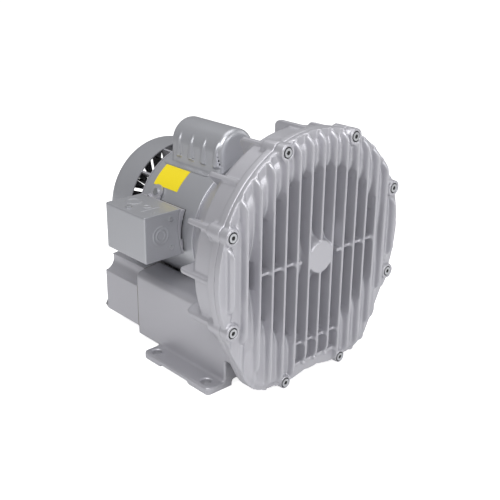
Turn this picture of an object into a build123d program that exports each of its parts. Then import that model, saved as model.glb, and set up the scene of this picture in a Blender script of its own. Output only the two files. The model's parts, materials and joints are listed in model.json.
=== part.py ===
from build123d import *
import math
import os

os.makedirs("parts", exist_ok=True)

# Millimetres. +Z is up, and the origin is the centre of the foot hole pattern on the floor.
# The shaft runs along Y at height shaft_z. The finned cover faces -Y and the motor +Y.

# ---- driving dimensions ----
shaft_z = 157.5
fin_pitch = 18.75
fin_t = 3.0
fin_inset = 1.25
fin_front_y = -118.0
joint_y = -101.0
rim_t = 8.0
flange_lip = 5.0
flange_t = 10.0
drum_wall = 8.4
drum_rear_y = -64.0
neck_step = 1.0
neck_rear_y = 12.0
cast_wall = 5.0

dish_wall = 4.6
bulge_front_y = -112.5
bulge_round = 8.0
bulge_shoulder = 15.0
rim_notch_half = 12.0
rim_notch_run = 18.0
rim_notch_h = 3.6
knuckle_t = 7.0
knuckle_front_y = -116.0
fin_round = 15.5
dish_floor_y = -98.0
dish_floor_t = 4.5
hub_r = 18.75
hub_base_r = 37.5
leg_x = 66.0
leg_z = 52.0
leg_r = 44.0
stripper_half = 37.5
stripper_low_z = 24.4
stripper_floor_y = -105.0

screw_ring_inset = 5.4
foot_boss_x = 47.2
foot_boss_z = 10.5
boss_r = 9.5
foot_boss_r = 7.5
boss_front_y = -114.0
boss_back_y = -80.0

impeller_r = 132.0
impeller_t = 30.0
axial_gap = 1.0
radial_gap = 0.6
channel_r = 118.0
channel_half = 14.5
front_channel_depth = 14.0
rear_channel_depth = 12.5
blade_count = 44
blade_t = 2.2
rear_wall_t = 6.0

shell_r = 83.0
shell_t = 2.5
shell_front_y = 12.0
shell_rear_y = 118.0
stack_front_y = 30.0
stack_rear_y = 80.0
rotor_r = 43.5
air_gap = 0.5
shaft_r = 15.0
drive_r = 10.0
front_seat_r = 12.5
rear_seat_r = 8.5
front_race_r = 26.0
rear_race_r = 20.0
front_bearing_y = -30.0
front_bearing_w = 15.0
rear_bearing_y = 100.0
rear_bearing_w = 12.0
washer_t = 1.5
bolt_circle_inset = 8.0
bolt_r = 2.5
bolt_turn = 33.0

cowl_front_y = 138.0
cowl_rear_y = 190.0
cowl_round = 18.0
cowl_t = 1.5
spacer_count = 12
spacer_turn = 18.0
fan_inset = 19.0
fan_front_y = 124.0
fan_plate_t = 2.5

muffler_half = 98.5
muffler_floor_z = 8.0
muffler_front_floor_z = 37.0
muffler_front_y = -91.0
muffler_rear_y = 106.0
muffler_shoulder_z = 95.0
muffler_crown_z = 98.5
crown_x = 62.0
saddle_gap = 3.0
chamber_front_y = -42.0
centre_wall = 12.0

foot_half = 124.5
foot_front_y = -64.0
foot_rear_y = 61.0
foot_t = 9.5
foot_inner_x = 86.0
hole_x = 112.5
hole_y = 47.5
hole_r = 6.25
relief_h = 3.0

gasket_t = 1.0
port_rear_y = 178.0
port_floor_z = 18.0
port_inset = 1.0
port_x = 50.0
port_z = 50.0
port_r = 22.2
port_depth = 28.0
scallop_r = 14.5
scallop_z = 89.0
tube_r = 20.5

box_reach = 57.0
box_front_y = 26.7
box_rear_y = 104.3
box_low_z = 140.0
box_top_z = 197.0
sheet_t = 1.5
edge_gap = 7.5
edge_x = -1.5
edge_z = 173.0
saddle_rim = 9.0
saddle_edge_t = 2.5
saddle_wall_t = 4.0
lug_turn = 150.5
lug_y = 90.0
lug_r = 9.5
lead_y = 88.0
lead_r = 1.8
lead_hole_r = 7.0

can_x = -13.0
can_rise = 14.5
can_r = 28.0
can_front_y = 10.0
can_rear_y = 105.0
can_t = 1.2
can_round = 8.0
can_lip = 5.5
lip_front_y = 26.0
lip_rear_y = 114.0
capacitor_r = 18.5

label_turn = 134.5
label_front_y = 58.5
label_long = 46.0
label_wide = 30.0

seat_gap = 0.1

# ---- sizes worked out from them ----
plug_back_y = dish_floor_y + dish_floor_t
impeller_front_y = plug_back_y + axial_gap
impeller_rear_y = impeller_front_y + impeller_t
impeller_mid_y = (impeller_front_y + impeller_rear_y) / 2
rear_wall_y = impeller_rear_y + axial_gap
bore_r = impeller_r + radial_gap
plug_r = channel_r - channel_half - 0.5
dish_r = plug_r - dish_wall
drum_r = bore_r + drum_wall
flange_r = drum_r + flange_lip
screw_ring_r = flange_r - screw_ring_inset
neck_r = shell_r - neck_step
bolt_circle_r = shell_r - bolt_circle_inset
fan_r = shell_r - fan_inset
box_outer_x = -shell_r - box_reach
edge_r = shell_r + edge_gap
can_z = shaft_z + shell_r + can_rise
saddle_r = shell_r + saddle_gap
shell_bore_r = shell_r - shell_t
port_front_y = muffler_rear_y + gasket_t
lead_z = (box_low_z + box_top_z) / 2


def block(x0, x1, y0, y1, z0, z1):
    """A box between two corners."""
    return Pos((x0 + x1) / 2, (y0 + y1) / 2, (z0 + z1) / 2) * Box(abs(x1 - x0), abs(y1 - y0), abs(z1 - z0))


def rod_y(r, y0, y1, x=0.0, z=shaft_z):
    """A round bar along Y."""
    return Pos(x, (y0 + y1) / 2, z) * Rot(90, 0, 0) * Cylinder(r, abs(y1 - y0))


def rod_x(r, x0, x1, y, z):
    """A round bar along X."""
    return Pos((x0 + x1) / 2, y, z) * Rot(0, 90, 0) * Cylinder(r, abs(x1 - x0))


def rod_z(r, z0, z1, x, y):
    """A round bar along Z."""
    return Pos(x, y, (z0 + z1) / 2) * Cylinder(r, abs(z1 - z0))


def ring_y(r_out, r_in, y0, y1, x=0.0, z=shaft_z):
    """A ring along Y."""
    return rod_y(r_out, y0, y1, x, z) - rod_y(r_in, y0 - 1, y1 + 1, x, z)


def turned(*points):
    """A body turned about the shaft axis from (radius, y) points."""
    return Pos(0, 0, shaft_z) * revolve(Polygon(*points, align=None), Axis.Y)


def prism_y(sketch, y0, y1):
    """A sketch drawn in (x, z), drawn out along Y between two planes."""
    return Pos(0, y1, 0) * extrude(Plane.XZ * sketch, y1 - y0)


def prism_x(sketch, x0, x1):
    """A sketch drawn in (y, z), drawn out along X between two planes."""
    return Pos(x0, 0, 0) * extrude(Plane.YZ * sketch, x1 - x0)


def disc(r, x=0.0, z=shaft_z):
    """A round sketch in (x, z)."""
    return Pos(x, z) * Circle(r)


def area(x0, x1, z0, z1):
    """A rectangular sketch between two corners."""
    return Pos((x0 + x1) / 2, (z0 + z1) / 2) * Rectangle(abs(x1 - x0), abs(z1 - z0))


def on_ring(r, angle):
    """The (x, z) place on a circle about the shaft, at an angle from +X towards +Z."""
    a = math.radians(angle)
    return r * math.cos(a), shaft_z + r * math.sin(a)


def fuse(first, rest):
    """One solid from many."""
    return first.fuse(*rest) if rest else first


def save(shape, name):
    export_step(shape, f"parts/{name}.step")
    print(name, round(shape.volume))


# ---- the outline of the two castings where they meet ----
ring_boss_angles = (67.5, 112.5, 22.5, 157.5, -23.0, 203.0)
boss_places = [(*on_ring(screw_ring_r, a), boss_r) for a in ring_boss_angles]
boss_places += [(s * foot_boss_x, foot_boss_z, foot_boss_r) for s in (-1, 1)]


def outline(grow=0.0):
    """Round flange with two lower legs and a shallow notch between them."""
    shape = disc(flange_r + grow)
    for s in (-1, 1):
        boss_x, boss_z = on_ring(screw_ring_r, -23.0)
        leg = disc(leg_r + grow, s * leg_x, leg_z)
        boss = disc(boss_r + grow, s * boss_x, boss_z)
        shape += make_hull([*leg.edges(), *boss.edges()])
        low = leg_z - leg_r - grow
        inner = rim_notch_half - grow
        corners = [(s * inner, leg_z), (s * inner, low + rim_notch_h), (s * (inner + rim_notch_run), low),
                   (s * leg_x, low), (s * leg_x, leg_z)]
        shape += Polygon(*corners[::s], align=None)
    return shape


def bulge():
    """The raised channel seen from the front: a ring whose two ends turn down into the legs."""
    deep_y = bulge_front_y + bulge_shoulder + 1
    back_y = joint_y - rim_t / 2 + 1
    profile = Polygon((dish_r, deep_y), (dish_r, bulge_front_y), (drum_r, bulge_front_y), (drum_r, deep_y),
                      align=None)
    front = profile.vertices().sort_by(Axis.Y)[:2].sort_by(Axis.X)
    profile = fillet(front[1], bulge_shoulder)
    inner = profile.vertices().sort_by(Axis.Y)[:2].sort_by(Axis.X)[0]
    body = Pos(0, 0, shaft_z) * Rot(0, 90, 0) * revolve(fillet(inner, bulge_round), Axis.Y)
    body &= block(-flange_r, flange_r, fin_front_y, back_y, 0, 2 * shaft_z)
    body -= block(-stripper_half, stripper_half, fin_front_y, joint_y + 1, 0, shaft_z)
    legs = []
    for s in (-1, 1):
        side = disc(leg_r - 3, s * leg_x, leg_z)
        side += area(s * stripper_half, s * leg_x, leg_z - leg_r + 3, leg_z + leg_r - 3)
        leg = prism_y(side, bulge_front_y, joint_y)
        leg = fillet(leg.faces().sort_by(Axis.Y)[0].edges(), bulge_round)
        leg -= block(-stripper_half, stripper_half, fin_front_y, joint_y + 1, 0, shaft_z)
        legs.append(leg - rod_y(dish_r, fin_front_y, joint_y + 1))
    return fuse(body, legs)


def channel_ring(depth, y, side):
    """Half-elliptic groove of the side channel on one side of the impeller, broken by the stripper."""
    points = [(channel_r - channel_half, y - side * 1.0)]
    steps = 8
    for i in range(steps + 1):
        a = math.pi * i / steps
        points.append((channel_r - channel_half * math.cos(a), y + side * depth * math.sin(a)))
    points.append((channel_r + channel_half, y - side * 1.0))
    return turned(*points) - block(-stripper_half, stripper_half, y - 2 * depth, y + 2 * depth, 0, shaft_z)


def fin_ends(k):
    """Lower and upper end of one fin, counted from the middle one."""
    low = (7.1, 7.1, 7.95, 7.85, 7.65, 6.4, 4.1, 1.9)[abs(k)]
    if abs(k) == 7:
        return shaft_z - low * fin_pitch, shaft_z + 2.35 * fin_pitch
    return shaft_z - low * fin_pitch, shaft_z + math.sqrt((flange_r - fin_inset) ** 2 - (k * fin_pitch) ** 2)


def ridge(k, front_y, width, crest_round, end_round):
    """A rib across the cover with rounded ends and a rounded crest."""
    sheet = area(front_y, joint_y - 0.5, *fin_ends(k))
    sheet = fillet(sheet.vertices().sort_by(Axis.X)[:2], end_round)
    x = k * fin_pitch
    body = prism_x(sheet, x - width / 2, x + width / 2)
    crest = [e for e in body.faces().filter_by(Axis.X).edges() if e.center().Y < joint_y - 4]
    return fillet(crest, crest_round)


def fin(k):
    """One cooling fin of the cover, with round finger ends that wrap over the bulge."""
    return ridge(k, fin_front_y, fin_t, fin_t * 0.42, fin_round)


def knuckle(k):
    """The wide round root of one fin where it crosses the bulge."""
    root = ridge(k, knuckle_front_y, knuckle_t, knuckle_t * 0.42, fin_round - 2)
    root -= rod_y(dish_r + 7, fin_front_y, joint_y)
    return root - block(-stripper_half, stripper_half, fin_front_y, joint_y, 0, shaft_z)


def cover_webs():
    """Cross webs between the fins: one row at hub height and two above the notch."""
    webs = []
    for s in (-1, 1):
        webs.append(block(s * 1.5 * fin_pitch, s * 5 * fin_pitch, fin_front_y + 2.5, dish_floor_y + 1,
                          shaft_z - 1.9, shaft_z + 1.9))
    for z, t in ((shaft_z - 5.55 * fin_pitch, 4.0), (stripper_low_z + 2.2, 4.4)):
        webs.append(block(-stripper_half - 1, stripper_half + 1, fin_front_y + 2.0, joint_y - 3,
                          z - t / 2, z + t / 2))
    return webs


def front_cover():
    """Finned front cover: rim, channel bulge, dish with hub, fins, webs and screw bosses."""
    rim = prism_y(outline() - disc(dish_r), joint_y - rim_t, joint_y)
    floor = rod_y(plug_r, joint_y, plug_back_y) - rod_y(dish_r, joint_y - 1, dish_floor_y)
    stripper = rod_y(impeller_r - radial_gap, joint_y - 1, plug_back_y)
    stripper &= block(-stripper_half, stripper_half, joint_y - 1, plug_back_y, 0, shaft_z - plug_r + 1)
    hub = turned((0, fin_front_y), (hub_r, fin_front_y), (hub_r + 4, dish_floor_y - 8),
                 (hub_base_r, dish_floor_y + 1), (0, dish_floor_y + 1))
    fins = [fin(k) for k in range(-7, 8)]
    bosses = [rod_y(r, boss_front_y, joint_y, x, z) for x, z, r in boss_places]
    pocket = block(-stripper_half, stripper_half, joint_y - rim_t - 1, stripper_floor_y,
                   stripper_low_z, shaft_z - 80)
    cover = fuse(rim - pocket, [bulge(), floor, stripper, hub, *bosses])
    inner = []
    for k in range(-5, 6):
        x = k * fin_pitch
        half = math.sqrt((dish_r + 1) ** 2 - x * x)
        low = shaft_z - half
        inner.append(block(x - fin_t / 2, x + fin_t / 2, fin_front_y + 5, dish_floor_y + 1, low, shaft_z + half))
    roots = [part for k in range(-7, 8) for part in knuckle(k).solids()]
    cover = fuse(cover, fins + inner + cover_webs() + roots)
    cover -= channel_ring(front_channel_depth, plug_back_y, -1)
    for s in (-1, 1):
        cover -= rod_y(leg_r - 15, bulge_front_y + 4.5, joint_y + 1, s * leg_x, leg_z + 6) - rod_y(
            plug_r, fin_front_y, joint_y + 2)
    cover -= rod_y(hub_r - 1, fin_front_y + 10, plug_back_y + 1)
    for x, z, _ in boss_places:
        cover -= rod_y(3.3, fin_front_y - 1, joint_y + 1, x, z)
        cover -= rod_y(6.2, fin_front_y - 5, boss_front_y + 6.2, x, z)
    return cover


def muffler_section(half, floor_z, top_drop=0.0):
    """Muffler outline in (x, z): crowned top, round shoulders and a hollow for the motor."""
    shoulder = muffler_shoulder_z - top_drop
    crown = muffler_crown_z - top_drop
    shape = Polygon((-half, floor_z), (half, floor_z), (half, shoulder), (crown_x, crown), (-crown_x, crown),
                    (-half, shoulder), align=None)
    tops = [v for v in shape.vertices() if abs(v.Z) < 1 and v.Y > shoulder - 1 and abs(v.X) > crown_x + 1]
    return fillet(tops, 10.0)


def neck():
    """Drum behind the flange, cone down to the motor, and the spigot inside the shell."""
    return turned((0, joint_y), (flange_r, joint_y), (flange_r, joint_y + flange_t), (drum_r, joint_y + flange_t + 2),
                  (drum_r, drum_rear_y), (neck_r + 3, neck_rear_y - 8), (neck_r - 1, neck_rear_y - 2),
                  (neck_r - 1, neck_rear_y), (shell_bore_r, neck_rear_y), (shell_bore_r, neck_rear_y + 10),
                  (0, neck_rear_y + 10))


def neck_hollow():
    """Space behind the wheel's wall: wide above the muffler boxes and narrow between them."""
    wall_y = rear_wall_y + rear_wall_t
    groove_y = rear_wall_y + rear_channel_depth + 4.0
    boss_rear_y = front_bearing_y + front_bearing_w + 2
    spigot_r = shell_bore_r - 9
    inner = [(0, boss_rear_y), (front_race_r + 7, boss_rear_y), (front_race_r + 7, wall_y)]
    outer = [(spigot_r, neck_rear_y - 10), (spigot_r, neck_rear_y + 11), (0, neck_rear_y + 11)]
    narrow = turned(*inner, (neck_r + 10, wall_y), (neck_r + 10, groove_y - 5), (neck_r + 1, chamber_front_y),
                    (neck_r + 1, neck_rear_y - 20), *outer)
    wide = turned(*inner, (channel_r - channel_half - 5, wall_y), (channel_r - channel_half + 2, groove_y),
                  (channel_r + 2, groove_y), (neck_r + 4, neck_rear_y - 20), *outer)
    upper = block(-flange_r, flange_r, joint_y, neck_rear_y + 12, muffler_crown_z + cast_wall, 2 * flange_r + 20)
    return narrow + (wide & upper)


def web(angle, reach=145.0, width=6.0):
    """Radial rib on the back of the drum, in line with a screw boss."""
    x0, x1 = drum_r - 45, reach
    sheet = area(joint_y + 1, -40, x0, x1)
    corner = sheet.vertices().sort_by(Axis.X)[-2:].sort_by(Axis.Y)[-1]
    sheet = fillet(corner, 7.0)
    body = prism_x(sheet, -width / 2, width / 2)
    return Pos(0, 0, shaft_z) * Rot(0, 90 - angle, 0) * body


def foot(side):
    """Foot plate along one side, with two round holes and a relief between its pads."""
    sheet = Pos((foot_inner_x + foot_half) / 2, (foot_front_y + foot_rear_y) / 2) * Rectangle(
        foot_half - foot_inner_x, foot_rear_y - foot_front_y)
    outer = sheet.vertices().sort_by(Axis.X)[-2:]
    sheet = fillet(outer, 7.0)
    plate = extrude(sheet, foot_t)
    plate -= block(foot_inner_x - 1, foot_half + 1, -26, 28, -1, relief_h)
    for y in (-hole_y, hole_y):
        plate -= rod_z(hole_r, -1, foot_t + 1, hole_x, y)
    return plate if side > 0 else mirror(plate, Plane.YZ)


def rear_housing():
    """One casting: flange, drum, neck, bearing boss, muffler boxes and feet."""
    flange = prism_y(outline(), joint_y, joint_y + flange_t)
    front_box = prism_y(muffler_section(muffler_half, muffler_front_floor_z), muffler_front_y, foot_front_y)
    rear_box = prism_y(muffler_section(muffler_half, muffler_floor_z), foot_front_y, muffler_rear_y)
    webs = [web(a) for a in (67.5, 90, 112.5, 135, 157.5, 180, 45, 22.5, 0)]
    webs += [web(a, 146.0, 9.0) for a in (-22.5, 202.5)]
    bosses = [rod_y(r, joint_y, boss_back_y, x, z) for x, z, r in boss_places]
    body = fuse(flange, [neck(), front_box, rear_box, *webs, *bosses, foot(1), foot(-1)])
    body -= rod_y(saddle_r, neck_rear_y, muffler_rear_y + 1) - rod_y(shell_bore_r, neck_rear_y - 1, neck_rear_y + 10)
    body -= neck_hollow()
    body -= rod_y(bore_r, joint_y - 1, rear_wall_y)
    body -= channel_ring(rear_channel_depth, rear_wall_y, 1)
    chamber = area(centre_wall / 2, muffler_half - cast_wall, muffler_floor_z + cast_wall,
                   muffler_shoulder_z - cast_wall)
    chamber = fillet(chamber.vertices(), 6.0) - disc(saddle_r + cast_wall)
    chamber -= disc(8.0, *port_bolt_places()[1])
    for s in (-1, 1):
        room = chamber if s > 0 else mirror(chamber, Plane.YZ)
        body -= prism_y(room, chamber_front_y, muffler_rear_y + 1)
        duct_x, duct_z = on_ring(channel_r, 270 + s * 32)
        body -= rod_y(channel_half - 0.5, rear_wall_y - 1, chamber_front_y + 1, duct_x, duct_z)
    body -= rod_y(front_race_r, front_bearing_y, front_bearing_y + front_bearing_w + 3)
    body -= rod_y(shaft_r + 5, rear_wall_y - 1, rear_wall_y + 9)
    body -= rod_y(shaft_r + 1, rear_wall_y, front_bearing_y + 1)
    for x, z, _ in boss_places:
        body -= rod_y(3.05, joint_y - 1, boss_back_y - 3, x, z)
    for x, z in motor_bolt_places():
        body -= rod_y(bolt_r + 0.05, neck_rear_y - 9, neck_rear_y + 11, x, z)
    for x, z in port_bolt_places():
        body -= rod_y(4.05, muffler_rear_y - 30, muffler_rear_y + 1, x, z)
    return body


def motor_bolt_places():
    return [on_ring(bolt_circle_r, bolt_turn + 90 * i) for i in range(4)]


def port_bolt_places():
    edge = muffler_half - 8.5
    return [(-edge, 22.0), (edge, 22.0), (0.0, 24.0), (0.0, 60.0)]


def socket_screw(x, z, head_y, length, r, head_r, head_h):
    """Socket head screw along +Y, with its head towards -Y and a hex socket."""
    screw = rod_y(head_r, head_y, head_y + head_h, x, z) + rod_y(r, head_y + head_h, head_y + head_h + length, x, z)
    socket = prism_y(Pos(x, z) * RegularPolygon(head_r * 0.55, 6), head_y - 1, head_y + head_h * 0.55)
    return screw - socket


def hex_screw(x, z, seat_y, length, r, head_r, head_h):
    """Hex screw whose shank runs towards -Y from a seat, with its head towards +Y."""
    head = prism_y(Pos(x, z) * RegularPolygon(head_r, 6), seat_y, seat_y + head_h)
    return head + rod_y(r, seat_y - length, seat_y, x, z)


def cover_screws():
    return Compound([socket_screw(x, z, boss_front_y + 0.2, 24.0, 3.0, 5.0, 6.0) for x, z, _ in boss_places])


def impeller():
    """Wheel with a hub, a web, a rim and blades whose pockets face both side channels."""
    front, rear, mid = impeller_front_y, impeller_rear_y, impeller_mid_y
    inner = channel_r - channel_half
    core = turned((drive_r + 0.05, front + 1.5), (drive_r + 14, front + 1.5), (drive_r + 15, mid - 3),
                  (inner - 8, mid - 3), (inner - 7, front), (inner - 1, front), (inner + 4, mid - 6),
                  (inner + 14, mid - 2.2), (impeller_r, mid - 1.2), (impeller_r, mid + 1.2),
                  (inner + 14, mid + 2.2), (inner + 4, mid + 6), (inner - 1, rear), (inner - 7, rear),
                  (inner - 8, mid + 3), (drive_r + 15, mid + 3), (drive_r + 14, rear - 1.5),
                  (drive_r + 0.05, rear - 1.5))
    blade = block(inner - 3, impeller_r - 0.2, front, rear, -blade_t / 2, blade_t / 2)
    blades = [Pos(0, 0, shaft_z) * Rot(0, 360 * i / blade_count, 0) * blade for i in range(blade_count)]
    wheel = fuse(core, blades)
    wheel -= block(-3.05, 3.05, front, rear, shaft_z + drive_r - 4, shaft_z + drive_r + 3)
    return wheel


def motor_shaft():
    """Stepped shaft with a keyway at the wheel end and a tapped end hole."""
    nose_y = impeller_front_y + 6
    shaft = turned((0, nose_y), (drive_r, nose_y), (drive_r, impeller_rear_y - 1.5),
                   (front_seat_r, impeller_rear_y - 1.5), (front_seat_r, front_bearing_y + front_bearing_w),
                   (shaft_r, front_bearing_y + front_bearing_w), (shaft_r, rear_bearing_y),
                   (rear_seat_r, rear_bearing_y), (rear_seat_r, fan_front_y), (rear_seat_r - 1, fan_front_y),
                   (rear_seat_r - 1, cowl_rear_y - 16), (0, cowl_rear_y - 16))
    shaft -= block(-3, 3, nose_y + 2, impeller_rear_y - 5, shaft_z + drive_r - 3.5, shaft_z + drive_r + 1)
    return shaft - rod_y(4.05, nose_y - 1, nose_y + 20)


def bearing_rings(r_in, r_out, y, width):
    """Shielded ball bearing as an outer and an inner ring."""
    split = (r_in + r_out) / 2 - 0.5
    outer = ring_y(r_out, split + 0.05, y, y + width)
    inner = ring_y(split, r_in, y, y + width)
    return outer, inner


def stator_core():
    """Laminated ring with slots for the windings and holes for the long bolts."""
    core = ring_y(shell_bore_r, rotor_r + air_gap, stack_front_y, stack_rear_y)
    slot = block(rotor_r + air_gap + 3, bolt_circle_r - 10, stack_front_y - 1, stack_rear_y + 1, -2.2, 2.2)
    slots = [Pos(0, 0, shaft_z) * Rot(0, 15 * i, 0) * slot for i in range(24)]
    core = core.cut(*slots)
    for x, z in motor_bolt_places():
        core -= rod_y(bolt_r + 0.8, stack_front_y - 1, stack_rear_y + 1, x, z)
    return core


def stator_windings():
    """The two end turns of the winding, round in section."""
    turns = []
    for y0, y1 in ((stack_front_y - 16, stack_front_y), (stack_rear_y, stack_rear_y + 5)):
        section = Pos((rotor_r + bolt_circle_r - 7) / 2 + 2, (y0 + y1) / 2) * Rectangle(
            bolt_circle_r - 13 - rotor_r, y1 - y0)
        section = fillet(section.vertices(), min(4.0, (y1 - y0) / 2 - 0.2))
        turns.append(Pos(0, 0, shaft_z) * revolve(section, Axis.Y))
    return Compound(turns)


def rotor_core():
    body = ring_y(rotor_r, shaft_r, stack_front_y, stack_rear_y)
    ends = [ring_y(rotor_r - 3, rotor_r - 14, stack_front_y - 7, stack_front_y),
            ring_y(rotor_r - 3, rotor_r - 14, stack_rear_y, stack_rear_y + 5)]
    return fuse(body, ends)


def rear_end_bell():
    """Cast end bell: spigot, bearing hub and the ribs that carry the fan cowl."""
    hub_front = rear_bearing_y
    washer_y = rear_bearing_y + rear_bearing_w + washer_t
    hub_rear = washer_y + 3
    bell = turned((rear_race_r - 6, hub_rear), (rear_race_r - 6, washer_y), (rear_race_r, washer_y),
                  (rear_race_r, hub_front), (rear_race_r + 5, hub_front), (rear_race_r + 6, hub_rear - 5),
                  (shell_bore_r - 8, hub_rear - 5), (shell_bore_r - 8, shell_rear_y - 8),
                  (shell_bore_r, shell_rear_y - 8), (shell_bore_r, shell_rear_y), (shell_r, shell_rear_y),
                  (shell_r, shell_rear_y + 2), (shell_r - 13, shell_rear_y + 4), (rear_race_r + 6, hub_rear + 4),
                  (rear_race_r, hub_rear))
    rib = block(shell_r - 17, shell_r - cowl_t - 0.1, shell_rear_y + 1, cowl_front_y + 7, -1.3, 1.3)
    ribs = [Pos(0, 0, shaft_z) * Rot(0, -spacer_turn - 360 * i / spacer_count, 0) * rib
            for i in range(spacer_count)]
    pad = block(shell_r - 14, shell_r - cowl_t - 0.1, cowl_front_y, cowl_front_y + 7, -3.5, 3.5)
    pad -= rod_x(1.55, shell_r - 16, shell_r, cowl_front_y + 4, 0)
    strip = block(shell_r - 18, shell_r, cowl_front_y, cowl_front_y + 8, -3.5, 3.5)
    bell = fuse(bell, ribs).cut(*[aim(x, z, strip) for x, z in cowl_screw_places()])
    bell = fuse(bell, [aim(x, z, pad) for x, z in cowl_screw_places()])
    for x, z in motor_bolt_places():
        bell -= rod_y(bolt_r + 0.3, shell_rear_y - 12, shell_rear_y + 20, x, z)
        bell -= rod_y(6.0, shell_rear_y + 1, shell_rear_y + 20, x, z)
    return bell


def motor_through_bolts():
    seat = shell_rear_y + 1
    return Compound([hex_screw(x, z, seat, seat - neck_rear_y + 8, bolt_r, 4.6, 3.5)
                     for x, z in motor_bolt_places()])


def motor_shell():
    """Rolled shell with softened ends and the hole for the leads."""
    tube = ring_y(shell_r, shell_bore_r, shell_front_y, shell_rear_y)
    rims = [e for e in tube.edges().filter_by(GeomType.CIRCLE) if e.radius > shell_r - 0.1]
    tube = fillet(rims, 1.2)
    tube -= rod_x(lead_hole_r, -shell_r - 5, -shell_r + 30, lead_y, lead_z)
    tube -= aim(*on_ring(shell_r, lug_turn), rod_x(2.05, shell_r - 6, shell_r + 2, lug_y, 0))
    for x, y in can_screw_places():
        tube -= rod_z(1.55, shaft_z + shell_r - 15, shaft_z + shell_r + 1, x, y)
    return tube


def fan_cowl():
    """Pressed cowl: straight rim, round rear corner and air slots in the back."""
    def bowl(r, rear_y, corner, front_y):
        profile = Polygon((0, front_y), (r, front_y), (r, rear_y), (0, rear_y), align=None)
        profile = fillet(profile.vertices().sort_by(Axis.X)[-2:].sort_by(Axis.Y)[-1], corner)
        return Pos(0, 0, shaft_z) * revolve(profile, Axis.Y)
    cowl = bowl(shell_r, cowl_rear_y, cowl_round, cowl_front_y)
    cowl -= bowl(shell_r - cowl_t, cowl_rear_y - cowl_t, cowl_round - cowl_t, cowl_front_y - 1)
    slot = block(20, 58, cowl_rear_y - 8, cowl_rear_y + 1, -2.0, 2.0)
    slots = [Pos(0, 0, shaft_z) * Rot(0, 20 * i, 0) * slot for i in range(18)]
    cowl = cowl.cut(*slots)
    for x, z in cowl_screw_places():
        cowl -= aim(x, z, rod_x(1.6, shell_r - 5, shell_r + 2, cowl_front_y + 4, 0))
    return cowl


def aim(x, z, body):
    """Turn a body that points along +X so that it points at (x, z) from the shaft axis."""
    return Pos(0, 0, shaft_z) * Rot(0, -math.degrees(math.atan2(z - shaft_z, x)), 0) * body


def cowl_screw_places():
    return [on_ring(shell_r, spacer_turn + a) for a in (60, 180, 300)]


def cowl_screws():
    """Three radial pan head screws that hold the cowl rim on its ribs."""
    y = cowl_front_y + 4
    screw = rod_x(1.5, shell_r - cowl_t - 4, shell_r + 0.05, y, 0) + rod_x(2.8, shell_r + 0.05, shell_r + 1.8, y, 0)
    return Compound([aim(x, z, screw) for x, z in cowl_screw_places()])


def cooling_fan():
    """Radial fan on the rear shaft end."""
    rear = cowl_rear_y - 20
    hub = ring_y(13, rear_seat_r - 0.95, fan_front_y, rear)
    plate = ring_y(fan_r - 2, 12, fan_front_y, fan_front_y + fan_plate_t)
    blade = block(12, fan_r, fan_front_y + 1, rear, -1.0, 1.0)
    blades = [Pos(0, 0, shaft_z) * Rot(0, 36 * i, 0) * blade for i in range(10)]
    return fuse(hub, [plate, *blades])


def port_block():
    """Casting behind the mufflers with the two pipe ports facing backwards."""
    half = muffler_half - port_inset
    section = muffler_section(half, port_floor_z, port_inset)
    for s in (-1, 1):
        section -= disc(scallop_r, s * (half + 1.5), scallop_z)
    section -= disc(saddle_r)
    body = prism_y(section, port_front_y, port_rear_y)
    room = area(centre_wall, half - cast_wall, port_floor_z + cast_wall, scallop_z - scallop_r - 3)
    room -= disc(saddle_r + cast_wall)
    for s in (-1, 1):
        side_room = room if s > 0 else mirror(room, Plane.YZ)
        body -= prism_y(side_room, port_front_y - 1, port_rear_y - cast_wall - 2)
    for s in (-1, 1):
        body += rod_y(port_r + 4.5, port_front_y + 8, port_rear_y, s * port_x, port_z)
        body -= rod_y(tube_r + 0.1, port_front_y - 1, port_rear_y - port_depth + 1, s * port_x, port_z)
        body -= rod_y(port_r, port_rear_y - port_depth, port_rear_y + 1, s * port_x, port_z)
    for x, z in port_bolt_places():
        body += rod_y(7.0, port_front_y, port_rear_y, x, z) & prism_y(section, port_front_y, port_rear_y)
    for x, z in port_bolt_places():
        body -= rod_y(4.3, port_front_y - 1, port_rear_y + 1, x, z)
    return body


def port_block_gasket():
    half = muffler_half - port_inset
    section = muffler_section(half, port_floor_z, port_inset) - disc(saddle_r)
    for s in (-1, 1):
        section -= disc(scallop_r, s * (half + 1.5), scallop_z)
        room = area(s * centre_wall, s * (half - cast_wall), port_floor_z + cast_wall, scallop_z - scallop_r - 3)
        section -= room - disc(saddle_r + cast_wall)
    body = prism_y(section, muffler_rear_y, port_front_y)
    for x, z in port_bolt_places():
        body += rod_y(7.0, muffler_rear_y, port_front_y, x, z) & prism_y(area(-half, half, port_floor_z, 90),
                                                                        muffler_rear_y, port_front_y)
        body -= rod_y(4.3, muffler_rear_y - 1, port_front_y + 1, x, z)
    return body


def port_block_screws():
    length = port_rear_y - muffler_rear_y + 24
    return Compound([hex_screw(x, z, port_rear_y, length, 4.0, 7.2, 5.3) for x, z in port_bolt_places()])


def muffler_tube(side):
    return ring_y(tube_r, tube_r - 1.2, chamber_front_y + 6, port_front_y + 20, side * port_x, port_z)


def muffler_foam(side):
    """Foam sleeve that fills one chamber around its tube."""
    gap = 0.5
    low = muffler_floor_z + cast_wall + gap
    section = area(centre_wall / 2 + gap, muffler_half - cast_wall - gap, low, muffler_shoulder_z - cast_wall - gap)
    section = fillet(section.vertices(), 6.0) - disc(saddle_r + cast_wall + gap)
    section -= disc(tube_r + 0.1, port_x, port_z)
    section -= disc(8.5, *port_bolt_places()[1])
    body = prism_y(section, chamber_front_y + 30, muffler_rear_y - 2)
    return body if side > 0 else mirror(body, Plane.YZ)


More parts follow.
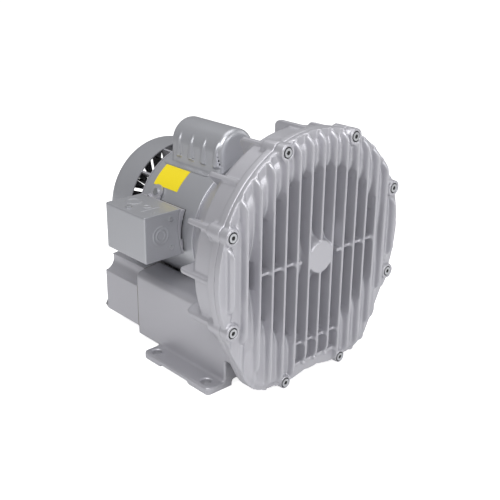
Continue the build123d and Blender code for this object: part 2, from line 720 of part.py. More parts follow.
def conduit_can():
    """Folded sheet box, open towards the motor, with knockouts and screw holes."""
    reach = edge_x - edge_r / 2
    outer = block(box_outer_x, reach, box_front_y, box_rear_y, box_low_z, box_top_z)
    upright = [e for e in outer.edges() if e.center().X < box_outer_x + 1 and abs(e.length) > 10]
    outer = fillet(upright, 2.0)
    inner = block(box_outer_x + sheet_t, reach + 1, box_front_y + sheet_t, box_rear_y - sheet_t,
                  box_low_z + sheet_t, box_top_z - sheet_t)
    box = outer - inner - rod_y(edge_r, box_front_y - 1, box_rear_y + 1, edge_x, edge_z)
    x, z = knockout_place()
    for r_out, r_in in ((11.0, 10.0), (6.6, 5.8)):
        box -= ring_y(r_out, r_in, box_front_y - 1, box_front_y + 0.5, x, z)
    for r, y in ((10.0, box_rear_y - 20), (5.0, box_rear_y - 46)):
        mark = rod_z(r, box_top_z - 0.5, box_top_z + 1, x + 4.5, y)
        box -= mark - rod_z(r - 0.9, box_top_z - 1, box_top_z + 2, x + 4.5, y)
    box -= block(x - 11, x + 15, box_front_y + 21, box_front_y + 22.2, box_top_z - 0.5, box_top_z + 1)
    for i in range(3):
        box -= rod_z(0.8, box_top_z - 3, box_top_z + 1, x - 8 + 5 * i, box_front_y + 7.5)
    for sx, sy, sz in box_screw_places():
        box -= rod_y(1.6, sy - 3, sy + 3, sx, sz)
    return box - rod_z(2.1, box_top_z - 3, box_top_z + 1, *ground_place())


def knockout_place():
    return box_outer_x + 23.0, box_low_z + 30.5


def ground_place():
    return box_outer_x + 10.5, box_rear_y - 33


def box_screw_places():
    x = box_outer_x + 37.6
    return [(x, y, z) for y in (box_front_y, box_rear_y) for z in (box_low_z + 12.6, box_top_z - 9.7)]


def box_screws():
    screws = []
    for x, y, z in box_screw_places():
        s = -1 if y < (box_front_y + box_rear_y) / 2 else 1
        a, b = sorted((y, y + s * 1.2))
        head = rod_y(2.6, a, b, x, z)
        c, d = sorted((y, y - s * (sheet_t + 3.0)))
        screws.append(head + rod_y(1.5, c, d, x, z))
    return Compound(screws)


def conduit_saddle():
    """Base of the conduit box: an edge strip under the box walls, a frame curved to the shell and a lug."""
    low, high = box_low_z, box_top_z
    front, rear = box_front_y, box_rear_y
    strip_r = edge_r - seat_gap
    strip = ring_y(strip_r, strip_r - saddle_edge_t, front, rear, edge_x, edge_z)
    strip &= block(box_outer_x, -50, front, rear, low, high)
    strip -= block(box_outer_x, -50, front + saddle_rim, rear - saddle_rim, low + saddle_rim, high - saddle_rim)
    wall = saddle_rim - saddle_wall_t
    frame = block(box_outer_x, -60, front + wall, rear - wall, low + wall, high - wall)
    frame -= block(box_outer_x - 1, -50, front + saddle_rim, rear - saddle_rim, low + saddle_rim, high - saddle_rim)
    frame &= rod_y(strip_r - 1, front, rear, edge_x, edge_z)
    lug = on_ring(shell_r, lug_turn)
    bridge = block(-shell_r, lug[0], lug_y - lug_r, lug_y + lug_r, high - saddle_rim, high - 1)
    ear = aim(*lug, rod_x(lug_r, shell_r - 6, shell_r + 3.4, lug_y, 0))
    base = fuse(strip, [frame, bridge, ear])
    base += block(-shell_r - 3, lug[0], lug_y - lug_r, rear - wall, high - saddle_rim, high - saddle_rim + 4)
    for x, y, z in box_screw_places():
        s = 1 if y < lead_y - 20 else -1
        a, b = sorted((y + s * (sheet_t + 0.1), y + s * (sheet_t + 2.1)))
        tab = block(x - 4, -shell_r, a, b, z - 5, z + 5) & rod_y(strip_r - 1, a, b, edge_x, edge_z)
        tab += block(x - 4, edge_x - strip_r + 3, a, b, z - 5, z + 5)
        base += tab
        base -= rod_y(1.55, a - 1, b + 2, x, z)
    base -= rod_y(shell_r + gasket_t + 0.3, front - 20, rear + 20)
    base -= rod_x(lead_hole_r + 2.2, box_outer_x, -shell_r + 5, lead_y, lead_z)
    base -= aim(*lug, rod_x(lug_r, shell_r + 3.4, shell_r + 20, lug_y, 0))
    return base - aim(*lug, rod_x(2.1, shell_r - 6, shell_r + 8, lug_y, 0))


def conduit_gasket():
    """Thin gasket between the saddle and the shell."""
    wall = saddle_rim - saddle_wall_t
    low, high = box_low_z + wall, box_top_z - wall
    front, rear = box_front_y + wall, box_rear_y - wall
    pad = ring_y(shell_r + gasket_t + 0.2, shell_r + 0.1, front, rear) & block(-100, -50, front, rear, low, high)
    pad -= block(-100, -50, box_front_y + saddle_rim, box_rear_y - saddle_rim, box_low_z + saddle_rim,
                 box_top_z - saddle_rim)
    return pad - aim(*on_ring(shell_r, lug_turn), rod_x(2.1, shell_r - 6, shell_r + 8, lug_y, 0))


def saddle_screw():
    x, z = on_ring(shell_r, lug_turn)
    screw = rod_x(2.0, shell_bore_r, shell_r + 3.4, lug_y, 0) + rod_x(4.0, shell_r + 3.4, shell_r + 5.6, lug_y, 0)
    screw -= block(shell_r + 4.6, shell_r + 7, lug_y - 5, lug_y + 5, -0.5, 0.5)
    return aim(x, z, screw)


def ground_screw():
    x, y = ground_place()
    screw = rod_z(2.0, box_top_z - 6, box_top_z, x, y) + rod_z(3.8, box_top_z, box_top_z + 2.0, x, y)
    return screw - block(x - 5, x + 5, y - 0.5, y + 0.5, box_top_z + 1.2, box_top_z + 3)


def lead_wires():
    """Three motor leads that pass through the shell into the conduit box."""
    return Compound([rod_x(lead_r, box_outer_x + 15, -shell_r + 8, lead_y + dy, lead_z) for dy in (-4.2, 0, 4.2)])


def lead_grommet():
    ring = rod_x(lead_hole_r - 0.1, -shell_r - 1.5, -shell_r + 6, lead_y, lead_z)
    ring += rod_x(lead_hole_r + 1.8, -shell_r - 3.5, -shell_r - 1.5, lead_y, lead_z)
    for dy in (-4.2, 0, 4.2):
        ring -= rod_x(lead_r + 0.05, -shell_r - 9, -shell_r + 9, lead_y + dy, lead_z)
    return ring


def can_section(r):
    """Arch of the capacitor cover in (x, z): straight sides under a round top."""
    return disc(r, can_x, can_z) + area(can_x - r, can_x + r, shaft_z + 40, can_z)


def motor_envelope(gap):
    """The outside of the neck and shell, grown by a gap."""
    return turned((0, -60), (drum_r + gap, -60), (neck_r + 3 + gap, neck_rear_y - 8 + gap),
                  (shell_r + gap, neck_rear_y + gap), (shell_r + gap, shell_rear_y + 2), (0, shell_rear_y + 2))


def capacitor_cover():
    """Pressed arch-shaped can with a lip that lies on the shell."""
    can = prism_y(can_section(can_r), can_front_y, can_rear_y)
    can = round_ends(can, can_front_y, can_rear_y, can_round)
    lip = ring_y(shell_r + seat_gap + can_t, shell_r + seat_gap, lip_front_y, lip_rear_y)
    half = can_r + can_lip
    plan = Pos(can_x, (lip_front_y + lip_rear_y) / 2) * Rectangle(2 * half, lip_rear_y - lip_front_y)
    plan = fillet(plan.vertices(), 6.0)
    lip &= Pos(0, 0, shaft_z) * extrude(plan, can_z - shaft_z)
    can += lip
    hollow = prism_y(can_section(can_r - can_t), can_front_y + can_t, can_rear_y - can_t)
    can -= round_ends(hollow, can_front_y + can_t, can_rear_y - can_t, can_round - can_t)
    can -= motor_envelope(seat_gap)
    for x, y in can_screw_places():
        can -= rod_z(1.6, shaft_z + 70, shaft_z + 90, x, y)
    return can


def round_ends(body, front_y, rear_y, r):
    """Round the arch edges at both ends of a body."""
    ends = [e for e in body.edges() if abs(e.center().Y - front_y) < 0.01 or abs(e.center().Y - rear_y) < 0.01]
    return fillet([e for e in ends if e.center().Z > shaft_z + 60], r)


def can_screw_places():
    return [(can_x + can_r + 3, lip_front_y + 12), (can_x + can_r + 3, lip_rear_y - 12)]


def can_screws():
    """Two small screws through the lip into the shell."""
    screws = []
    for x, y in can_screw_places():
        top = shaft_z + math.sqrt(shell_r ** 2 - x * x) + can_t + 1.3
        low = shaft_z + math.sqrt(shell_bore_r ** 2 - (x + 1.6) ** 2) + 1.0
        screws.append(rod_z(1.5, low, top, x, y) + rod_z(2.8, top, top + 1.6, x, y))
    return Compound(screws)


def capacitor():
    """Round motor capacitor with two blade terminals."""
    z = can_z + 6
    body = rod_y(capacitor_r, can_front_y + 12, can_rear_y - 14, can_x, z)
    for dx in (-6, 6):
        body += block(can_x + dx - 3, can_x + dx + 3, can_front_y + 5, can_front_y + 12, z - 0.4, z + 0.4)
    return body


def capacitor_strap():
    """Band around the capacitor with a foot on the shell."""
    z = can_z + 6
    y0, y1 = 50.0, 64.0
    band = ring_y(capacitor_r + 1.1, capacitor_r + 0.1, y0, y1, can_x, z)
    foot_z = shaft_z + math.sqrt(shell_r ** 2 - can_x ** 2)
    base = block(can_x - 9, can_x + 9, y0, y1, foot_z - 6, z - capacitor_r - 0.5)
    base -= rod_y(shell_r + seat_gap, y0 - 1, y1 + 1)
    base -= rod_y(capacitor_r + 0.5, y0 - 1, y1 + 1, can_x, z)
    return band + base


def label():
    """Blank label on the shell, 46 by 30."""
    patch = ring_y(shell_r + 0.35, shell_r + 0.05, label_front_y, label_front_y + label_long)
    side = label_wide / 2
    keep = block(shell_r - 30, shell_r + 5, label_front_y, label_front_y + label_long, -side, side)
    return patch & aim(*on_ring(shell_r, label_turn), keep)


def main():
    front_outer, front_inner = bearing_rings(front_seat_r, front_race_r, front_bearing_y, front_bearing_w)
    rear_outer, rear_inner = bearing_rings(rear_seat_r, rear_race_r, rear_bearing_y, rear_bearing_w)
    nose_y = impeller_front_y + 6
    pieces = {
        "front_cover": front_cover(),
        "rear_housing": rear_housing(),
        "cover_screws": cover_screws(),
        "impeller": impeller(),
        "impeller_key": block(-3, 3, nose_y + 2, impeller_rear_y - 5, shaft_z + drive_r - 3.5,
                              shaft_z + drive_r + 2.8),
        "impeller_washer": ring_y(16, 4.1, impeller_front_y - 1.0, impeller_front_y + 1.5),
        "impeller_bolt": prism_y(Pos(0, shaft_z) * RegularPolygon(7.4, 6), impeller_front_y - 6.0,
                                 impeller_front_y - 1.0)
        + rod_y(4.0, impeller_front_y - 1.0, nose_y + 16),
        "motor_shaft": motor_shaft(),
        "front_bearing_outer": front_outer,
        "front_bearing_inner": front_inner,
        "rear_bearing_outer": rear_outer,
        "rear_bearing_inner": rear_inner,
        "shaft_seal": ring_y(shaft_r + 5, front_seat_r + 0.05, rear_wall_y, rear_wall_y + 7),
        "wave_washer": ring_y(rear_race_r - 0.5, rear_race_r - 4.5, rear_bearing_y + rear_bearing_w,
                              rear_bearing_y + rear_bearing_w + washer_t),
        "rotor_core": rotor_core(),
        "stator_core": stator_core(),
        "stator_windings": stator_windings(),
        "motor_shell": motor_shell(),
        "rear_end_bell": rear_end_bell(),
        "motor_through_bolts": motor_through_bolts(),
        "cooling_fan": cooling_fan(),
        "fan_clip": ring_y(11, rear_seat_r - 0.95, cowl_rear_y - 20, cowl_rear_y - 18.8),
        "fan_cowl": fan_cowl(),
        "cowl_screws": cowl_screws(),
        "port_block": port_block(),
        "port_block_gasket": port_block_gasket(),
        "port_block_screws": port_block_screws(),
        "muffler_tube_inlet": muffler_tube(-1),
        "muffler_tube_outlet": muffler_tube(1),
        "muffler_foam_inlet": muffler_foam(-1),
        "muffler_foam_outlet": muffler_foam(1),
        "conduit_box": conduit_can(),
        "conduit_saddle": conduit_saddle(),
        "conduit_gasket": conduit_gasket(),
        "conduit_box_screws": box_screws(),
        "saddle_screw": saddle_screw(),
        "ground_screw": ground_screw(),
        "lead_wires": lead_wires(),
        "lead_grommet": lead_grommet(),
        "capacitor_cover": capacitor_cover(),
        "capacitor_cover_screws": can_screws(),
        "capacitor": capacitor(),
        "capacitor_strap": capacitor_strap(),
        "label": label(),
    }
    for name, shape in pieces.items():
        save(shape, name)


main()
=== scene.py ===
import json
import math

import bmesh
import bpy
from mathutils import Matrix, Vector


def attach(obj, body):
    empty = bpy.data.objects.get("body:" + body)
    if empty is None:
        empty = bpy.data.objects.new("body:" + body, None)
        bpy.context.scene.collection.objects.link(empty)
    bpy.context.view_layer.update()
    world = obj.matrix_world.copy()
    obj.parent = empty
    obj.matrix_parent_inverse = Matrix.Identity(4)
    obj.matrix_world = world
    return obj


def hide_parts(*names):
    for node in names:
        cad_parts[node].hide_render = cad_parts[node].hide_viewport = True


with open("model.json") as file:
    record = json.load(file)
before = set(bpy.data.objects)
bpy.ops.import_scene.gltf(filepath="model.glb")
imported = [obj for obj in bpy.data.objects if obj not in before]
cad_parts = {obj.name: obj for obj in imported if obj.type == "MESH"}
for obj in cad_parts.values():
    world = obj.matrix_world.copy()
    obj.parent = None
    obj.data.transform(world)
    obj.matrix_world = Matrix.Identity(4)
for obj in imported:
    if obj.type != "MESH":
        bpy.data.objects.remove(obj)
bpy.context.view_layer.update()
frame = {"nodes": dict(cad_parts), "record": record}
nodes = frame["nodes"]
print("frame loaded:", len(nodes), "nodes")

shaftZ = 0.1575          # height of the shaft above the floor

# the camera and the lamps, in metres and watts
view = {
    "place": (-0.66786, -0.71673, 0.52178),
    "direction": (0.63253, 0.67990, -0.37101),
    "roll": 0.747,       # degrees
    "lens": 61.32,
}
studio = {
    "worldStrength": 0.25,
    "worldColor": (0.97, 0.97, 1.0),
    "keyPower": 12.5,
    "keyPlace": (-0.85, -0.45, 1.25),
    "topPower": 7.0,
    "topPlace": (0.1, 0.2, 1.5),
    "frontPower": 9.5,
    "frontPlace": (0.25, -1.55, 0.75),
    "rightPower": 3.0,
    "rightPlace": (1.3, -0.5, 0.8),
}


def makeCamera(spec):
    forward = Vector(spec["direction"]).normalized()
    right = forward.cross(Vector((0, 0, 1))).normalized()
    up = right.cross(forward)
    turn = math.radians(spec["roll"])
    across = right * math.cos(turn) + up * math.sin(turn)
    upward = up * math.cos(turn) - right * math.sin(turn)
    basis = Matrix((across, upward, -forward)).transposed()
    data = bpy.data.cameras.new("camera")
    data.lens = spec["lens"]
    data.sensor_width = 36.0
    data.clip_start = 0.01
    camera = bpy.data.objects.new("camera", data)
    camera.matrix_world = Matrix.Translation(spec["place"]) @ basis.to_4x4()
    bpy.context.scene.collection.objects.link(camera)
    bpy.context.scene.camera = camera


def areaLight(name, place, aim, power, size, color=(1, 1, 1)):
    data = bpy.data.lights.new(name, "AREA")
    data.energy = power
    data.size = size
    data.color = color
    light = bpy.data.objects.new(name, data)
    direction = Vector(aim) - Vector(place)
    light.matrix_world = Matrix.Translation(place) @ direction.to_track_quat("-Z", "Y").to_matrix().to_4x4()
    bpy.context.scene.collection.objects.link(light)


def whiteForCamera(tree, shader, output):
    # the background is white to the camera and through clear pieces, and keeps its own level elsewhere
    path = tree.nodes.new("ShaderNodeLightPath")
    either = tree.nodes.new("ShaderNodeMath")
    either.operation = "MAXIMUM"
    tree.links.new(path.outputs["Is Camera Ray"], either.inputs[0])
    tree.links.new(path.outputs["Is Transmission Ray"], either.inputs[1])
    plain = tree.nodes.new("ShaderNodeBackground")
    plain.inputs["Color"].default_value = (1, 1, 1, 1)
    plain.inputs["Strength"].default_value = 1.0
    mix = tree.nodes.new("ShaderNodeMixShader")
    tree.links.new(either.outputs[0], mix.inputs[0])
    tree.links.new(shader.outputs[0], mix.inputs[1])
    tree.links.new(plain.outputs[0], mix.inputs[2])
    tree.links.new(mix.outputs[0], output.inputs["Surface"])


def makeStudio(spec):
    scene = bpy.context.scene
    scene.view_settings.view_transform = "Standard"
    world = bpy.data.worlds.new("studio")
    scene.world = world
    world.use_nodes = True
    tree = world.node_tree
    tree.nodes.clear()
    output = tree.nodes.new("ShaderNodeOutputWorld")
    soft = tree.nodes.new("ShaderNodeBackground")
    soft.inputs["Color"].default_value = (*spec["worldColor"], 1)
    soft.inputs["Strength"].default_value = spec["worldStrength"]
    whiteForCamera(tree, soft, output)
    middle = (0, 0, 0.15)
    areaLight("keyLight", spec["keyPlace"], middle, spec["keyPower"], 0.9)
    areaLight("topLight", spec["topPlace"], middle, spec["topPower"], 1.1)
    areaLight("frontLight", spec["frontPlace"], middle, spec["frontPower"], 1.0)
    areaLight("rightLight", spec["rightPlace"], middle, spec["rightPower"], 0.9)


ground = {
    "size": 40.0,
    "height": -0.0002,        # just under the feet
    "tone": (0.9, 0.9, 0.9),
    "roughness": 0.9,
    "specular": 0.1,
    "glow": 0.85,             # seen by the camera alone
}


def makeFloor(spec):
    bpy.ops.mesh.primitive_plane_add(size=spec["size"], location=(0, 0, spec["height"]))
    floor = bpy.context.object
    floor.name = "floor"
    material = bpy.data.materials.new("paleFloor")
    material.use_nodes = True
    tree = material.node_tree
    shader = tree.nodes["Principled BSDF"]
    shader.inputs["Base Color"].default_value = (*spec["tone"], 1)
    shader.inputs["Roughness"].default_value = spec["roughness"]
    shader.inputs["Specular IOR Level"].default_value = spec["specular"]
    path = tree.nodes.new("ShaderNodeLightPath")
    glow = tree.nodes.new("ShaderNodeEmission")
    glow.inputs["Color"].default_value = (1, 1, 1, 1)
    glow.inputs["Strength"].default_value = spec["glow"]
    add = tree.nodes.new("ShaderNodeAddShader")
    mix = tree.nodes.new("ShaderNodeMixShader")
    tree.links.new(shader.outputs[0], add.inputs[0])
    tree.links.new(glow.outputs[0], add.inputs[1])
    tree.links.new(path.outputs["Is Camera Ray"], mix.inputs[0])
    tree.links.new(shader.outputs[0], mix.inputs[1])
    tree.links.new(add.outputs[0], mix.inputs[2])
    tree.links.new(mix.outputs[0], tree.nodes["Material Output"].inputs["Surface"])
    floor.data.materials.append(material)


makeCamera(view)
makeStudio(studio)
makeFloor(ground)
print("camera, lights and floor made")


# helpers that build node trees
def groupTree(name, inputs, outputs):
    tree = bpy.data.node_groups.new(name, "ShaderNodeTree")
    for label, kind, value in inputs:
        socket = tree.interface.new_socket(label, in_out="INPUT", socket_type=kind)
        if value is not None:
            socket.default_value = value
    for label, kind in outputs:
        tree.interface.new_socket(label, in_out="OUTPUT", socket_type=kind)
    return tree, tree.nodes.new("NodeGroupInput"), tree.nodes.new("NodeGroupOutput")


def mathNode(tree, operation, a, b=None, c=None):
    node = tree.nodes.new("ShaderNodeMath")
    node.operation = operation
    for socket, value in zip(node.inputs, (a, b, c)):
        if value is None:
            continue
        if isinstance(value, (int, float)):
            socket.default_value = value
        else:
            tree.links.new(value, socket)
    return node.outputs[0]


def noiseNode(tree, vector, scale, detail=2.0, roughness=0.5):
    node = tree.nodes.new("ShaderNodeTexNoise")
    tree.links.new(vector, node.inputs["Vector"])
    if isinstance(scale, (int, float)):
        node.inputs["Scale"].default_value = scale
    else:
        tree.links.new(scale, node.inputs["Scale"])
    node.inputs["Detail"].default_value = detail
    node.inputs["Roughness"].default_value = roughness
    return node.outputs["Fac"]


def makeSprayGroup():
    # sprayed metal: cloudy tone, fine metal flake and the faint grain of what lies under it
    tree, given, out = groupTree("sprayedMetal", [
        ("Vector", "NodeSocketVector", None),
        ("Tone", "NodeSocketColor", (0.5, 0.5, 0.5, 1)),
        ("Cloud", "NodeSocketFloat", 0.06),
        ("Flake", "NodeSocketFloat", 0.05),
        ("Grain Scale", "NodeSocketFloat", 900.0),
        ("Rough", "NodeSocketFloat", 0.4),
    ], [("Color", "NodeSocketColor"), ("Roughness", "NodeSocketFloat"), ("Height", "NodeSocketFloat")])
    vector = given.outputs["Vector"]
    cloud = noiseNode(tree, vector, 14.0, 3.0)
    flake = noiseNode(tree, vector, 2600.0, 1.0)
    grain = noiseNode(tree, vector, given.outputs["Grain Scale"], 4.0, 0.65)
    lift = mathNode(tree, "MULTIPLY", mathNode(tree, "SUBTRACT", cloud, 0.5), given.outputs["Cloud"])
    spark = mathNode(tree, "MULTIPLY", mathNode(tree, "SUBTRACT", flake, 0.5), given.outputs["Flake"])
    level = mathNode(tree, "ADD", mathNode(tree, "ADD", lift, spark), 1.0)
    scaled = tree.nodes.new("ShaderNodeVectorMath")
    scaled.operation = "SCALE"
    tree.links.new(given.outputs["Tone"], scaled.inputs[0])
    tree.links.new(level, scaled.inputs["Scale"])
    tree.links.new(scaled.outputs[0], out.inputs["Color"])
    rough = mathNode(tree, "ADD", given.outputs["Rough"], mathNode(tree, "MULTIPLY", lift, 1.5))
    tree.links.new(rough, out.inputs["Roughness"])
    tree.links.new(grain, out.inputs["Height"])
    return tree


sprayGroup = makeSprayGroup()


def newMaterial(name, roughness=0.5, metallic=0.0):
    material = bpy.data.materials.new(name)
    material.use_nodes = True
    shader = material.node_tree.nodes["Principled BSDF"]
    shader.inputs["Roughness"].default_value = roughness
    shader.inputs["Metallic"].default_value = metallic
    return material, material.node_tree, shader


def sprayedMetal(name, tone, rough, metallic, cloud=0.08, flake=0.10, grainScale=900.0, bump=0.10, coat=0.15):
    material, tree, shader = newMaterial(name, rough, metallic)
    place = tree.nodes.new("ShaderNodeTexCoord")
    group = tree.nodes.new("ShaderNodeGroup")
    group.node_tree = sprayGroup
    tree.links.new(place.outputs["Object"], group.inputs["Vector"])
    group.inputs["Tone"].default_value = (*tone, 1)
    group.inputs["Cloud"].default_value = cloud
    group.inputs["Flake"].default_value = flake
    group.inputs["Grain Scale"].default_value = grainScale
    group.inputs["Rough"].default_value = rough
    tree.links.new(group.outputs["Color"], shader.inputs["Base Color"])
    tree.links.new(group.outputs["Roughness"], shader.inputs["Roughness"])
    raised = tree.nodes.new("ShaderNodeBump")
    raised.inputs["Strength"].default_value = bump
    raised.inputs["Distance"].default_value = 0.0004
    tree.links.new(group.outputs["Height"], raised.inputs["Height"])
    tree.links.new(raised.outputs["Normal"], shader.inputs["Normal"])
    shader.inputs["Coat Weight"].default_value = coat
    shader.inputs["Coat Roughness"].default_value = 0.25
    return material


silver = {
    "castTone": (0.515, 0.512, 0.545),
    "sheetTone": (0.47, 0.478, 0.505),
    "castRough": 0.42,
    "sheetRough": 0.34,
    "metallic": 0.55,
}
castPaint = sprayedMetal("castPaint", silver["castTone"], silver["castRough"], silver["metallic"],
                         bump=0.22, grainScale=700.0)
sheetPaint = sprayedMetal("sheetPaint", silver["sheetTone"], silver["sheetRough"], silver["metallic"],
                          bump=0.05, grainScale=1500.0, coat=0.3)
screwPaint = sprayedMetal("screwPaint", (0.55, 0.56, 0.58), 0.32, 0.7, bump=0.05)
zincPlate = sprayedMetal("zincPlate", (0.62, 0.63, 0.64), 0.28, 0.95, cloud=0.2, flake=0.1, bump=0.05,
                         coat=0.0)
wheelAlloy = sprayedMetal("wheelAlloy", (0.68, 0.68, 0.69), 0.35, 0.95, bump=0.08, coat=0.0)
toolSteel = sprayedMetal("toolSteel", (0.50, 0.50, 0.51), 0.25, 1.0, bump=0.04, coat=0.0)
bearingSteel = sprayedMetal("bearingSteel", (0.66, 0.66, 0.67), 0.15, 1.0, bump=0.02, coat=0.0)
lamination = sprayedMetal("lamination", (0.30, 0.30, 0.32), 0.5, 0.8, bump=0.2, coat=0.0)
windingCopper = sprayedMetal("windingCopper", (0.55, 0.24, 0.10), 0.35, 0.6, cloud=0.3, bump=0.4)
capacitorMetal = sprayedMetal("capacitorMetal", (0.62, 0.62, 0.63), 0.3, 0.9, bump=0.03)
blackRubber = sprayedMetal("blackRubber", (0.035, 0.035, 0.037), 0.75, 0.0, bump=0.2, coat=0.0)
fanPlastic = sprayedMetal("fanPlastic", (0.05, 0.05, 0.055), 0.5, 0.0, bump=0.1, coat=0.0)
gasketFibre = sprayedMetal("gasketFibre", (0.20, 0.18, 0.15), 0.85, 0.0, cloud=0.4, bump=0.3, coat=0.0)
greyFoam = sprayedMetal("greyFoam", (0.12, 0.12, 0.125), 0.95, 0.0, cloud=0.5, flake=0.6,
                        grainScale=400.0, bump=0.8, coat=0.0)
wireCover = sprayedMetal("wireCover", (0.04, 0.04, 0.045), 0.35, 0.0, bump=0.02, coat=0.0)
labelYellow = sprayedMetal("labelYellow", (0.90, 0.72, 0.01), 0.45, 0.0, cloud=0.04, flake=0.02, bump=0.03,
                           coat=0.2)

# painted shade: this near-black stands for the deep shade in the screws' sockets and in the gaps round their
# heads
paintedShadeBlack = sprayedMetal("paintedShadeBlack", (0.012, 0.012, 0.013), 0.7, 0.0, bump=0.02, coat=0.0)

finishes = {
    "casting": castPaint, "sheet_paint": sheetPaint, "black_steel": screwPaint, "zinc_steel": zincPlate,
    "ground_green": screwPaint, "wheel_alloy": wheelAlloy, "tool_steel": toolSteel,
    "bearing_steel": bearingSteel, "black_rubber": blackRubber, "lamination": lamination,
    "winding_copper": windingCopper,
    "fan_plastic": fanPlastic, "gasket_fibre": gasketFibre, "foam": greyFoam, "wire_cover": wireCover,
    "can_metal": capacitorMetal, "label_yellow": labelYellow,
}
slots = {part["node"]: part["material_slot"] for part in frame["record"]["subparts"]}
for name, node in nodes.items():
    node.data.materials.clear()
    node.data.materials.append(finishes[slots[name]])
print("materials made")


# cast and pressed pieces get soft corners on a copy of their solid
def mergedCopy(nodeName, pieceName):
    mesh = nodes[nodeName].data.copy()
    copy = bpy.data.objects.new(pieceName, mesh)
    bpy.context.scene.collection.objects.link(copy)
    work = bmesh.new()
    work.from_mesh(mesh)
    bmesh.ops.remove_doubles(work, verts=work.verts, dist=1e-6)
    work.to_mesh(mesh)
    work.free()
    return copy


def baked(piece):
    bpy.context.view_layer.update()
    graph = bpy.context.evaluated_depsgraph_get()
    mesh = bpy.data.meshes.new_from_object(piece.evaluated_get(graph))
    piece.modifiers.clear()
    piece.data = mesh
    return piece


def remeshed(piece, voxel, passes):
    remesh = piece.modifiers.new("remesh", "REMESH")
    remesh.mode = "VOXEL"
    remesh.voxel_size = voxel
    remesh.adaptivity = 0.0
    smooth = piece.modifiers.new("smooth", "SMOOTH")
    smooth.factor = 0.5
    smooth.iterations = passes
    return baked(piece)


def softCasting(nodeName, pieceName, spec, material, shape=None):
    # a fine remesh, smoothed, gives the rounded roots and edges of a casting or a pressing
    piece = mergedCopy(nodeName, pieceName)
    if shape is not None:
        remeshed(piece, spec["voxel"], 0)
        shape(piece.data)
    remeshed(piece, spec["voxel"], spec["passes"])
    count = sum(len(p.vertices) - 2 for p in piece.data.polygons)
    if count > spec["triangles"]:
        thin = piece.modifiers.new("thin", "DECIMATE")
        thin.ratio = spec["triangles"] / count
        baked(piece)
    piece.data.materials.clear()
    piece.data.materials.append(material)
    for face in piece.data.polygons:
        face.use_smooth = True
    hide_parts(nodeName)
    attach(piece, "blower")
    print(pieceName, "remeshed from", count, "triangles")


cover = {
    "finPitch": 0.01875,
    "finCount": 7,            # on each side of the middle one
    "finEdge": 0.0018,
    "gapEdge": 0.0037,
    "dishRadius": 0.098,
    "rampWidth": 0.019,
    "floorY": -0.098,         # nothing behind this plane is carved
    "crestLeft": 0.79,        # share of the depth that stays between the fins
    "webLeft": 0.74,
    "shelfLeft": 0.83,
    "stripperHalf": 0.0385,
    "stripperTop": 0.078,
    "stripperLow": 0.0245,
    "hubRadius": 0.036,
    "dishMargin": 0.0015,
    "shelfHalf": 0.007,
    "leastClimb": 0.02,
    "screwMargin": 0.0012,    # left uncarved round each boss
}
screwRing = {
    "radius": 0.1406,
    "angles": (-23.0, 22.5, 67.5),   # degrees above +X, about the shaft
    "boss": 0.0095,
    "foot": (0.0472, 0.0105, 0.0075),
    "digits": 5,              # places are kept to 0.01 mm
}


def screwPlaces(spec):
    # x, z and boss radius of each cover screw, the left side first
    half = []
    for angle in spec["angles"]:
        turn = math.radians(angle)
        half.append((round(spec["radius"] * math.cos(turn), spec["digits"]),
                     round(shaftZ + spec["radius"] * math.sin(turn), spec["digits"]), spec["boss"]))
    half.insert(1, spec["foot"])
    return [(-x, z, boss) for x, z, boss in half] + half[::-1]


screws = screwPlaces(screwRing)


def gapShare(x, z, spec):
    # how much of the depth stays at one place between two fins
    radius = math.hypot(x, z - shaftZ)
    if abs(x) < spec["stripperHalf"] and z < spec["stripperTop"]:
        return spec["webLeft"] if z > spec["stripperLow"] else 1.0
    if radius < spec["dishRadius"] - spec["dishMargin"]:
        uncarved = radius < spec["hubRadius"] or abs(z - shaftZ) > spec["shelfHalf"]
        return 1.0 if uncarved else spec["shelfLeft"]
    climb = min(max((radius - spec["dishRadius"]) / spec["rampWidth"], spec["leastClimb"]), 1.0)
    return spec["crestLeft"] * math.sqrt(1.0 - (1.0 - climb) ** 2)


def carveGaps(mesh):
    # between the fins the channel's back is lower and climbs from the dish in a round ramp
    lastFin = cover["finCount"] * cover["finPitch"]
    for vertex in mesh.vertices:
        x, y, z = vertex.co
        fin = round(x / cover["finPitch"])
        if y > cover["floorY"] or abs(x) > lastFin:
            continue
        if any(math.hypot(x - sx, z - sz) < r + cover["screwMargin"] for sx, sz, r in screws):
            continue
        side = abs(x - fin * cover["finPitch"])
        t = min(max((side - cover["finEdge"]) / (cover["gapEdge"] - cover["finEdge"]), 0.0), 1.0)
        ease = t * t * (3.0 - 2.0 * t)
        depth = cover["floorY"] - y
        vertex.co.y = cover["floorY"] - depth * (1.0 - ease * (1.0 - gapShare(x, z, cover)))


can = {
    "side": -0.030,           # only the wall left of this is pressed
    "foot": 0.2385, "top": 0.2705,
    "places": [0.087, 0.064, 0.041, 0.018],
    "footHalf": 0.0060, "topHalf": 0.0018,
    "lift": 0.0048,
    "footRun": 0.003,         # height over which the louvres rise at their foot
}


def pressLouvres(mesh):
    # ribs on the side of the can, wide and proud at the foot and running out at the top
    for vertex in mesh.vertices:
        x, y, z = vertex.co
        if x > can["side"] or not can["foot"] < z < can["top"]:
            continue
        t = (z - can["foot"]) / (can["top"] - can["foot"])
        half = can["footHalf"] * (1 - t) + can["topHalf"] * t
        lift = can["lift"] * (1 - t) ** 0.6 * min(1.0, (z - can["foot"]) / can["footRun"])
        for place in can["places"]:
            across = abs(y - place) / half
            if across < 1.0:
                vertex.co.x -= lift * (1.0 - across ** 2) ** 0.6


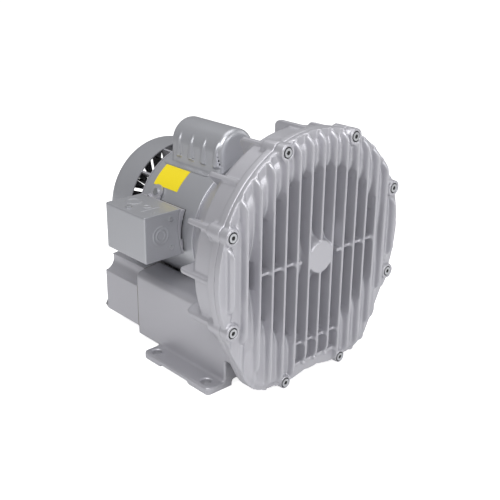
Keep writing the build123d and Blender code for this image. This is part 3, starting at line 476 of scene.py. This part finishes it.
box = {
    "frontY": 0.0267, "topZ": 0.197,
    "knockout": (-0.117, 0.1705, ((0.0106, 0.0012), (0.0062, 0.0011))),
    "topRings": ((-0.1125, 0.0843, 0.0096), (-0.1125, 0.0583, 0.0047)),
    "line": (-0.128, -0.102, 0.0483),
    "dots": ((-0.125, 0.0342), (-0.120, 0.0342), (-0.115, 0.0342)),
    "raise": 0.0009,
    "skin": 0.0007,           # how near a face a point counts as on it
    "ringHalf": 0.0013, "lineHalf": 0.0014, "dotHalf": 0.0015,
}


def bump(distance, half):
    share = min(abs(distance) / half, 1.0)
    return (1.0 - share * share) ** 2


def pressMarks(mesh):
    # knockout rings on the front, and rings, a bead and three dimples on the top
    for vertex in mesh.vertices:
        x, y, z = vertex.co
        if abs(y - box["frontY"]) < box["skin"]:
            cx, cz, rings = box["knockout"]
            radius = math.hypot(x - cx, z - cz)
            vertex.co.y -= box["raise"] * max(bump(radius - r, half) for r, half in rings)
        elif abs(z - box["topZ"]) < box["skin"]:
            rise = max(bump(math.hypot(x - cx, y - cy) - r, box["ringHalf"])
                       for cx, cy, r in box["topRings"])
            low, high, lineY = box["line"]
            if low < x < high:
                rise = max(rise, bump(y - lineY, box["lineHalf"]))
            for cx, cy in box["dots"]:
                rise = max(rise, bump(math.hypot(x - cx, y - cy), box["dotHalf"]))
            vertex.co.z += box["raise"] * rise


soft = {
    "coverCasting": {"voxel": 0.0009, "passes": 4, "triangles": 195000},
    "housingCasting": {"voxel": 0.0014, "passes": 5, "triangles": 150000},
    "portCasting": {"voxel": 0.0012, "passes": 4, "triangles": 60000},
    "pressedCover": {"voxel": 0.0007, "passes": 2, "triangles": 90000},
    "conduitPressing": {"voxel": 0.00055, "passes": 2, "triangles": 150000},
}
softCasting("front_cover", "coverCasting", soft["coverCasting"], castPaint, carveGaps)
softCasting("rear_housing", "housingCasting", soft["housingCasting"], castPaint)
softCasting("port_block", "portCasting", soft["portCasting"], castPaint)
softCasting("capacitor_cover", "pressedCover", soft["pressedCover"], sheetPaint, pressLouvres)
softCasting("conduit_box", "conduitPressing", soft["conduitPressing"], sheetPaint, pressMarks)
print("castings made")


# sizes and depths of the black discs of painted shade in each socket and round each head
screwGaps = {
    "headY": -0.1138,
    "socketRadius": 0.0025, "socketSides": 6, "socketDepth": 0.0005,
    "gapInner": 0.0051, "gapOuter": 0.0061, "gapSides": 32, "gapDepth": 0.0010,
}


def screwShade(places, spec):
    # painted shade: black discs stand for the deep shade in each screw's socket and in the gap round its head
    shades = ((0.0, spec["socketRadius"], spec["socketSides"], spec["headY"] + spec["socketDepth"]),
              (spec["gapInner"], spec["gapOuter"], spec["gapSides"], spec["headY"] + spec["gapDepth"]))
    work = bmesh.new()
    for x, z, _ in places:
        for inner, outer, sides, y in shades:
            ring = [[work.verts.new((x + r * math.sin(2 * math.pi * i / sides), y,
                                     z + r * math.cos(2 * math.pi * i / sides))) for i in range(sides)]
                    for r in (inner, outer) if r > 0]
            if len(ring) == 1:
                work.faces.new(ring[0])
                continue
            for i in range(sides):
                j = (i + 1) % sides
                work.faces.new((ring[0][i], ring[1][i], ring[1][j], ring[0][j]))
    mesh = bpy.data.meshes.new("screwShade")
    work.to_mesh(mesh)
    work.free()
    piece = bpy.data.objects.new("screwShade", mesh)
    bpy.context.scene.collection.objects.link(piece)
    mesh.materials.append(paintedShadeBlack)
    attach(piece, "blower")


screwShade(screws, screwGaps)
print("screws shaded")
